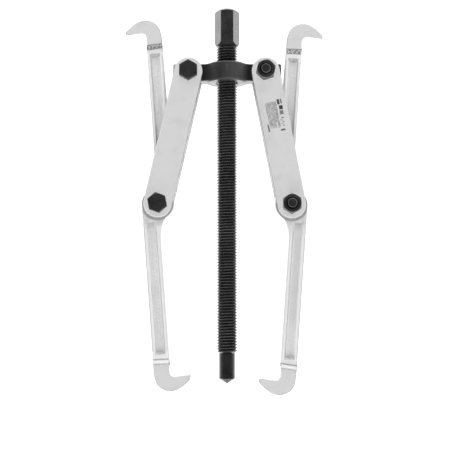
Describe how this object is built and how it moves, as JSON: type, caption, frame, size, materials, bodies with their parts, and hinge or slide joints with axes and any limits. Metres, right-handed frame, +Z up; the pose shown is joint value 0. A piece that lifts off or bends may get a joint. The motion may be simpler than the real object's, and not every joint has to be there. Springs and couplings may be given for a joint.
{
  "type": "gear puller",
  "caption": "Jaw-type gear puller: a hex-driven forcing screw through a cross bar, with swinging link plates carrying reversible S-shaped jaws.",
  "frame": {"origin": "the forcing screw's pressing point, on the screw's axis, at rest", "axes": "+Z up the screw towards its hexagon, +X towards the right link, -Y to the front, where the left side shows bolt heads and the right side shows nuts"},
  "size_m": [0.1759, 0.0448, 0.3407],
  "materials": {
    "yoke_black_oxide": "semi-gloss black oxide on forged steel",
    "screw_black_oxide": "oiled black oxide on cut thread",
    "tip_black_oxide": "oiled black oxide on turned steel",
    "fastener_black_oxide": "black oxide",
    "link_plated_steel": "satin bright plate on pressed steel",
    "jaw_plated_steel": "satin bright plate on forged steel",
    "ball_steel": "polished bearing steel",
    "ring_spring_steel": "oiled spring steel"
  },
  "bodies": {
    "yoke": {"yoke": "yoke_black_oxide"},
    "pressure_tip": {"pressure_tip": "tip_black_oxide", "thrust_ball": "ball_steel", "tip_retaining_ring": "ring_spring_steel"},
    "forcing_screw": {"forcing_screw": "screw_black_oxide"},
    "left_link": {"left_link_plate_front": "link_plated_steel", "left_link_plate_rear": "link_plated_steel", "left_yoke_bolt": "fastener_black_oxide", "left_yoke_nut": "fastener_black_oxide", "left_jaw_bolt": "fastener_black_oxide", "left_jaw_nut": "fastener_black_oxide"},
    "left_jaw": {"left_jaw": "jaw_plated_steel"},
    "right_link": {"right_link_plate_front": "link_plated_steel", "right_link_plate_rear": "link_plated_steel", "right_yoke_bolt": "fastener_black_oxide", "right_yoke_nut": "fastener_black_oxide", "right_jaw_bolt": "fastener_black_oxide", "right_jaw_nut": "fastener_black_oxide"},
    "right_jaw": {"right_jaw": "jaw_plated_steel"}
  },
  "joints": [
    {"name": "screw_travel", "type": "slide", "parent": "yoke", "child": "pressure_tip", "axis": [0, 0, -1], "range_m": [-0.22, 0.015]},
    {"name": "screw_turn", "type": "hinge", "parent": "pressure_tip", "child": "forcing_screw", "pos_m": [0, 0, 0], "axis": [0, 0, -1], "range_deg": [-31700, 2170]},
    {"name": "left_link_swing", "type": "hinge", "parent": "yoke", "child": "left_link", "pos_m": [-0.034, 0, 0.27233], "axis": [0, 1, 0], "range_deg": [-3, 57]},
    {"name": "left_jaw_swing", "type": "hinge", "parent": "left_link", "child": "left_jaw", "pos_m": [-0.06038, 0, 0.15527], "axis": [0, 1, 0], "range_deg": [-57, 3]},
    {"name": "right_link_swing", "type": "hinge", "parent": "yoke", "child": "right_link", "pos_m": [0.034, 0, 0.27233], "axis": [0, -1, 0], "range_deg": [-0.8, 59]},
    {"name": "right_jaw_swing", "type": "hinge", "parent": "right_link", "child": "right_jaw", "pos_m": [0.05628, 0, 0.15442], "axis": [0, -1, 0], "range_deg": [-59, 0.8]}
  ],
  "couplings": [
    {"joint": "screw_turn", "follows": "screw_travel", "rad_per_m": 2513.3},
    {"joint": "left_jaw_swing", "follows": "left_link_swing", "ratio": -1},
    {"joint": "right_jaw_swing", "follows": "right_link_swing", "ratio": -1}
  ]
}
